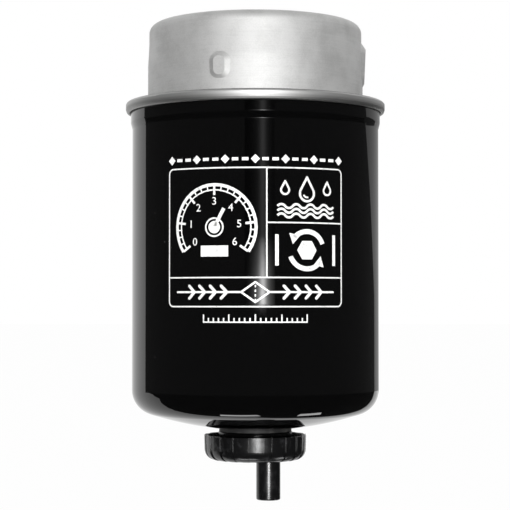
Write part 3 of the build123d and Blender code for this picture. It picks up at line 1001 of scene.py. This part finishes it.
@dataclass(frozen=True)
class Flow:
    """Line of flow through a diamond, with chevrons on both sides."""

    reach: float = 26.0
    line: float = 0.6
    diamond: Point = (4.4, 3.1)
    core_bars: int = 4
    core_top: float = 2.2
    core_end: float = 1.5
    core_gap: float = 1.45
    core_line: float = 0.4
    chevrons: int = 4
    chevron_middle: float = 15.2
    chevron_gap: float = 3.6
    chevron: Point = (0.9, 1.9)
    chevron_line: float = 0.9

    def draw(self, sheet: InkSheet, at: Point) -> None:
        """Draw the line, the diamond and the chevrons.

        Args:
            sheet: the sheet to draw on.
            at: the diamond's middle in millimetres.
        """
        x, y = at
        across, up = self.diamond
        sheet.stroke([(x - self.reach, y), (x - across, y)], self.line)
        sheet.stroke([(x + across, y), (x + self.reach, y)], self.line)
        left, right = (x - across, y), (x + across, y)
        sheet.stroke([left, (x, y + up), right, (x, y - up), left], self.line)
        for index in range(self.core_bars):
            sink = index * self.core_gap
            sheet.bar((x, y + self.core_top - sink), (x, y + self.core_end - sink), self.core_line)
        across, up = self.chevron
        for side in (-1, 1):
            for index in range(self.chevrons):
                shift = (index - (self.chevrons - 1) / 2) * self.chevron_gap
                middle = x + side * self.chevron_middle + shift
                points = [(middle - across, y + up), (middle + across, y), (middle - across, y - up)]
                sheet.stroke(points, self.chevron_line)


@dataclass(frozen=True)
class MarkRow:
    """Row of lozenges with bars between them."""

    each_side: int = 9
    gap: float = 3.15
    lozenge_every: int = 3
    lozenge: float = 1.4
    bar: Point = (2.0, 0.95)

    def draw(self, sheet: InkSheet, at: Point) -> None:
        """Draw the row.

        Args:
            sheet: the sheet to draw on.
            at: the row's middle in millimetres.
        """
        for index in range(-self.each_side, self.each_side + 1):
            spot = (at[0] + index * self.gap, at[1])
            if index % self.lozenge_every == 0:
                sheet.disc(spot, self.lozenge, 4)
            else:
                sheet.block(spot, *self.bar)


@dataclass(frozen=True)
class Ruler:
    """Short plain scale on a base line."""

    each_side: int = 10
    gap: float = 1.65
    long_every: int = 5
    long: float = 2.4
    short: float = 1.3
    tick_line: float = 0.42
    base_drop: float = 1.2
    base_reach: float = 16.7
    base_line: float = 0.4

    def draw(self, sheet: InkSheet, at: Point) -> None:
        """Draw the scale.

        Args:
            sheet: the sheet to draw on.
            at: the scale's middle in millimetres.
        """
        for index in range(-self.each_side, self.each_side + 1):
            tall = self.long if index % self.long_every == 0 else self.short
            spot = (at[0] + index * self.gap, at[1] + tall / 2 - self.base_drop)
            sheet.block(spot, self.tick_line, tall)
        base = at[1] - self.base_drop
        sheet.bar((at[0] - self.base_reach, base), (at[0] + self.base_reach, base), self.base_line)


@dataclass(frozen=True)
class PrintedPanel:
    """Generic service panel in frames: a dial, drops over waves, turning arrows and a flow strip,
    with a row of marks above and a scale below."""

    width: float = 58.9
    height: float = 43.0
    line: float = 0.42
    corner: float = 1.6
    strip: float = 9.0
    dial_share: float = 0.56
    dial_drop: float = 1.4
    marks_above: float = 2.7
    scale_below: float = 3.6

    def draw(self) -> InkSheet:
        """Draw every motif on one flat sheet.

        Returns:
            The sheet.
        """
        sheet = InkSheet()
        right, top = self.width / 2, self.height / 2
        sheet.frame_box(self.width, self.height, self.corner, self.line)
        strip_level = -top + self.strip
        split = -right + self.width * self.dial_share
        sheet.bar((-right, strip_level), (right, strip_level), self.line)
        sheet.bar((split, strip_level), (split, top), self.line)
        level = (strip_level + top) / 2
        sheet.bar((split, level), (right, level), self.line)
        quarter = (top - strip_level) / 4
        side = (split + right) / 2
        Dial().draw(sheet, ((split - right) / 2, level - self.dial_drop))
        Drops().draw(sheet, (side, level + quarter))
        Turning().draw(sheet, (side, level - quarter))
        Flow().draw(sheet, (0.0, -top + self.strip / 2))
        MarkRow().draw(sheet, (0.0, top + self.marks_above))
        Ruler().draw(sheet, (0.0, -top - self.scale_below))
        return sheet

    def make(self) -> None:
        """Lay the panel on the can."""
        self.draw().lay("printed_panel")


# Sub-assemblies


@dataclass
class Collar:
    """Steel collar with its rubber grommet and the rolled seam."""

    def build(self) -> None:
        """Dress the collar's nodes."""
        dress("collar_cup", Finish.COLLAR)
        dress("seam_seal", Finish.COMPOUND)
        dress("mouth_grommet", Finish.RUBBER)


@dataclass
class Can:
    """Painted can with its printed panel."""

    panel: PrintedPanel = PrintedPanel()

    def build(self) -> None:
        """Dress the can and print its panel."""
        dress("can_shell", Finish.ENAMEL)
        self.panel.make()


@dataclass
class Element:
    """Filter element inside, seen through the mouth."""

    def build(self) -> None:
        """Dress the element's nodes."""
        for node in ("top_end_cap", "bottom_end_cap", "centre_tube", "pleat_clip"):
            dress(node, Finish.PRESSED)
        for node in ("top_bond", "bottom_bond"):
            dress(node, Finish.BOND)
        dress("outlet_grommet", Finish.RUBBER)
        dress("pleated_media", Finish.PAPER)
        dress("water_screen", Finish.SCREEN)
        dress("element_spring", Finish.SPRING)


@dataclass
class DrainValve:
    """Neck, nut, gasket, knob and O-rings under the can."""

    def build(self) -> None:
        """Dress the valve's nodes."""
        dress("drain_neck", Finish.MOULDING)
        dress("drain_knob", Finish.MOULDING)
        dress("neck_nut", Finish.PRESSED)
        for node in ("neck_gasket", "stem_o_ring", "plug_o_ring"):
            dress(node, Finish.RUBBER)


# Studio


def stand(bm: bmesh.types.BMesh, name: str, material: bpy.types.Material) -> bpy.types.Object:
    """Turn a bmesh into a stage object.

    Args:
        bm: the mesh, in place, in metres; it is freed.
        name: the object's name.
        material: its material.

    Returns:
        The new object.
    """
    mesh = bpy.data.meshes.new(name)
    bm.to_mesh(mesh)
    bm.free()
    prop = bpy.data.objects.new(name, mesh)
    bpy.context.scene.collection.objects.link(prop)
    mesh.materials.append(material)
    return prop


def reflected(bm: bmesh.types.BMesh, name: str, tone: float) -> None:
    """Turn a bmesh into a stage object of one tone that reflections alone see.

    Args:
        bm: the mesh, in place, in metres; it is freed.
        name: the object's name.
        tone: its brightness, where 1 is white.
    """
    graph = Graph(name + "_tone")
    graph.show(graph.emit(tone))
    prop = stand(bm, name, graph.material)
    prop.visible_camera = False
    prop.visible_diffuse = False
    prop.visible_shadow = False
    prop.visible_transmission = False


@dataclass(frozen=True)
class Flag:
    """Sheet turned round the object, which the gloss mirrors in place of the white surroundings.
    Its rows go from one edge to the other, and each holds a radius, a height, and the angles in
    degrees from the front towards +X at which it starts and ends."""

    name: str
    tone: float
    rows: tuple[tuple[float, float, float, float], ...]
    steps: int = 48

    def hang(self) -> None:
        """Spin the rows through a quarter turn, then stretch each over its own angles."""
        bm = bmesh.new()
        quarter = math.radians(90)
        verts = [bm.verts.new((radius, 0, height)) for radius, height, _, _ in self.rows]
        edges = [bm.edges.new(pair) for pair in zip(verts, verts[1:])]
        bmesh.ops.spin(
            bm,
            geom=verts + edges,
            cent=(0, 0, 0),
            axis=(0, 0, 1),
            angle=quarter,
            steps=self.steps,
            use_merge=False,
        )
        for vert in bm.verts:
            spot = (vert.co.xy.length, vert.co.z)
            radius, height, start, end = min(self.rows, key=lambda row: math.dist(row[:2], spot))
            share = math.atan2(vert.co.y, vert.co.x) / quarter
            angle = math.radians(start + share * (end - start))
            vert.co = (radius * math.sin(angle), -radius * math.cos(angle), height)
        reflected(bm, self.name, self.tone)


@dataclass(frozen=True)
class Gleam:
    """Bright strip just over the floor that the can's bottom corner mirrors."""

    name: str
    start: Point
    end: Point
    width: float
    tone: float = 4.5
    level: float = FLOOR_LEVEL + 0.003

    def hang(self) -> None:
        """Lay the strip from its start to its end."""
        run = Vector(self.end) - Vector(self.start)
        middle = ((self.start[0] + self.end[0]) / 2, (self.start[1] + self.end[1]) / 2, self.level)
        place = Matrix.Translation(middle) @ Matrix.Rotation(math.atan2(run.y, run.x), 4, "Z")
        size = Matrix.Diagonal((run.length, self.width, 1.0, 1.0))
        bm = bmesh.new()
        bmesh.ops.transform(bm, matrix=place @ size, verts=unit_square(bm))
        reflected(bm, self.name, self.tone)


@dataclass(frozen=True)
class Lamp:
    """Rectangular lamp that points at the can's middle, with a size in metres and a power in
    watts. It can pass by some nodes, or light some nodes only."""

    name: str
    at: Place
    size: Point
    power: float
    passes_by: tuple[str, ...] = ()
    lights_only: tuple[str, ...] = ()
    aim: Place = (0.0, 0.0, -0.07)

    def hang(self) -> None:
        """Add the lamp and link it to the nodes that it may light."""
        data = bpy.data.lights.new(self.name, "AREA")
        data.shape = "RECTANGLE"
        data.size, data.size_y = self.size
        data.energy = self.power
        lamp = bpy.data.objects.new(self.name, data)
        bpy.context.scene.collection.objects.link(lamp)
        turn = (Vector(self.aim) - Vector(self.at)).to_track_quat("-Z", "Y")
        lamp.matrix_world = Matrix.Translation(self.at) @ turn.to_matrix().to_4x4()
        lamp.visible_camera = False
        if not (self.passes_by or self.lights_only):
            return
        linked = bpy.data.collections.new(self.name + "_nodes")
        for index, node in enumerate(self.passes_by or self.lights_only):
            linked.objects.link(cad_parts[node])
            if self.passes_by:
                linked.collection_objects[index].light_linking.link_state = "EXCLUDE"
        lamp.light_linking.receiver_collection = linked


@dataclass(frozen=True)
class GlowCard:
    """Card beside the camera that draws the can's highlight. It grows brighter downwards from
    22 mm below the origin, by foot_slope a metre. To both sides it fades as the sum of a narrow
    and a wide bell curve, each with its share and its spread in square metres."""

    at: Place = (0.144, -1.24, 0.0327)
    size: Point = (0.70, 0.2546)
    level: float = 0.65
    foot_slope: float = -240.0
    foot_offset: float = -5.3
    bells: tuple[Point, Point] = ((0.75, 0.0038), (0.25, 0.024))

    def hang(self) -> None:
        """Add the card with its graded glow."""
        graph = Graph("card_glow")
        foot = graph.math("MULTIPLY_ADD", graph.part("Z"), self.foot_slope, self.foot_offset)
        rise = graph.math("ADD", graph.math("MAXIMUM", foot, 0.0), self.level)
        side = graph.math("SUBTRACT", graph.part("X"), self.at[0])
        square = graph.math("MULTIPLY", side, side)
        curves = [graph.math("EXPONENT", graph.math("DIVIDE", square, -spread)) for _, spread in self.bells]
        shares = [graph.math("MULTIPLY", curve, bell[0]) for curve, bell in zip(curves, self.bells)]
        graph.show(graph.emit(graph.math("MULTIPLY", graph.math("ADD", *shares), rise)))
        bm = bmesh.new()
        place = Matrix.Translation(self.at) @ Matrix.Rotation(math.radians(90), 4, "X")
        bmesh.ops.transform(bm, matrix=place @ Matrix.Diagonal((*self.size, 1, 1)), verts=unit_square(bm))
        stand(bm, "glow_card", graph.material).visible_camera = False


# The angle at which the flags end on the left, and the height of the flag on the floor
LEFT_END = -120.8
FLAG_FOOT = FLOOR_LEVEL + 0.001
FLAGS = (
    Flag(
        "dark_flag",
        0.06,
        (
            (1.30, -0.300, LEFT_END, 144.0),
            (1.30, -0.085, LEFT_END, 144.0),
            (1.30, 0.012, LEFT_END, 134.0),
            (1.30, 0.139, LEFT_END, 117.0),
            (1.30, 0.190, LEFT_END, 111.0),
        ),
    ),
    Flag("side_flag", 0.42, ((1.33, -0.30, 105.0, 185.0), (1.33, 0.24, 105.0, 185.0))),
    Flag("grey_hood", 0.46, ((1.70, 0.24, LEFT_END, 112.0), (1.00, 2.20, LEFT_END, 112.0))),
    Flag("ceiling_flag", 0.30, ((1.00, 2.21, -180.0, 180.0), (0.001, 2.22, -180.0, 180.0))),
    Flag(
        "floor_flag",
        0.02,
        (
            (0.001, FLAG_FOOT, -95.0, 139.0),
            (0.30, FLAG_FOOT, -96.0, 139.0),
            (0.60, FLAG_FOOT, -106.0, 141.0),
            (1.30, FLAG_FOOT, LEFT_END, 144.0),
        ),
    ),
)
GLEAMS = (
    Gleam("left_gleam", (-0.0295, -0.013), (0.003, -0.022), 0.013),
    Gleam("right_gleam", (0.037, -0.009), (0.060, 0.003), 0.019),
)
LIGHTS = (
    Lamp("key", (0.08, -1.20, -0.09), (0.40, 0.20), 13.2, passes_by=("can_shell", "drain_neck")),
    Lamp("top", (0.0, 0.1, 1.4), (1.2, 1.2), 0.4),
    GlowCard(),
    Lamp("low", (0.12, -1.2, -0.17), (0.16, 0.06), 5.0, lights_only=("drain_knob",)),
)


@dataclass
class Studio:
    """Pale floor, white surroundings, the flags, gleams and lights listed above, and the camera."""

    floor_reach: float = 9.0
    floor_tones: Point = (0.94, 0.96)
    floor_patch: float = 0.25
    floor_glow: float = 0.92
    ambient: float = 0.88
    eye: Place = (-0.00011, -0.5602, -0.09275)
    pitch: float = 1.672
    lens: float = 118.95
    sensor: float = 36.0
    nearest: float = 0.01

    def light_world(self) -> None:
        """White for the camera and for reflections, a plain grey level for matt surfaces."""
        world = bpy.data.worlds.new("studio")
        bpy.context.scene.world = world
        world.use_nodes = True
        tree = world.node_tree
        tree.nodes.clear()
        path = tree.nodes.new("ShaderNodeLightPath")
        seen = path.outputs["Is Camera Ray"]
        for ray in ("Is Glossy Ray", "Is Transmission Ray"):
            either = tree.nodes.new("ShaderNodeMath")
            either.operation = "MAXIMUM"
            tree.links.new(seen, either.inputs[0])
            tree.links.new(path.outputs[ray], either.inputs[1])
            seen = either.outputs[0]
        level = tree.nodes.new("ShaderNodeMapRange")
        level.inputs["To Min"].default_value = self.ambient
        level.inputs["To Max"].default_value = 1.0
        tree.links.new(seen, level.inputs["Value"])
        sky = tree.nodes.new("ShaderNodeBackground")
        sky.inputs["Color"].default_value = (1, 1, 1, 1)
        tree.links.new(level.outputs[0], sky.inputs["Strength"])
        output = tree.nodes.new("ShaderNodeOutputWorld")
        tree.links.new(sky.outputs[0], output.inputs["Surface"])

    def lay_floor(self) -> None:
        """Pale floor that keeps a soft shadow; it is clear from below, so the underside shows."""
        graph = Graph("studio_floor")
        graph.set(Roughness=1.0, Specular_IOR_Level=0.0)
        dark, light = ((tone, tone, tone) for tone in self.floor_tones)
        graph.feed("Base Color", graph.blend(graph.noise(self.floor_patch), dark, light))
        path = graph.tree.nodes.new("ShaderNodeLightPath")
        seen = graph.math("MAXIMUM", path.outputs["Is Camera Ray"], path.outputs["Is Glossy Ray"])
        seen = graph.math("MAXIMUM", seen, path.outputs["Is Transmission Ray"])
        share = graph.math("MULTIPLY", seen, self.floor_glow)
        pale = graph.mix(share, graph.shader.outputs[0], graph.emit())
        clear = graph.tree.nodes.new("ShaderNodeBsdfTransparent").outputs[0]
        below = graph.tree.nodes.new("ShaderNodeNewGeometry").outputs["Backfacing"]
        graph.show(graph.mix(below, pale, clear))
        bm = bmesh.new()
        made = bmesh.ops.create_circle(bm, cap_ends=True, radius=self.floor_reach, segments=64)["verts"]
        bmesh.ops.translate(bm, vec=(0, 0, FLOOR_LEVEL), verts=made)
        stand(bm, "floor", graph.material)

    def aim_camera(self) -> None:
        """Camera at the photograph's place: just below the can's middle, tipped up a little."""
        data = bpy.data.cameras.new("camera")
        data.lens = self.lens
        data.sensor_width = self.sensor
        data.clip_start = self.nearest
        camera = bpy.data.objects.new("camera", data)
        bpy.context.scene.collection.objects.link(camera)
        camera.location = self.eye
        camera.rotation_euler = (math.radians(90 + self.pitch), 0, 0)
        bpy.context.scene.camera = camera

    def build(self) -> None:
        """Set up the whole studio."""
        self.aim_camera()
        self.light_world()
        self.lay_floor()
        for prop in (*FLAGS, *GLEAMS, *LIGHTS):
            prop.hang()
        bpy.context.scene.view_settings.view_transform = "Standard"


def main() -> None:
    """Build the sub-assemblies in order, then the studio, and log each one as it is built."""
    logging.basicConfig(level=logging.INFO, format="%(name)s: %(message)s")
    for assembly in (Collar(), Can(), Element(), DrainValve(), Studio()):
        assembly.build()
        log.info("built %s", type(assembly).__name__)


if __name__ == "__main__":
    main()
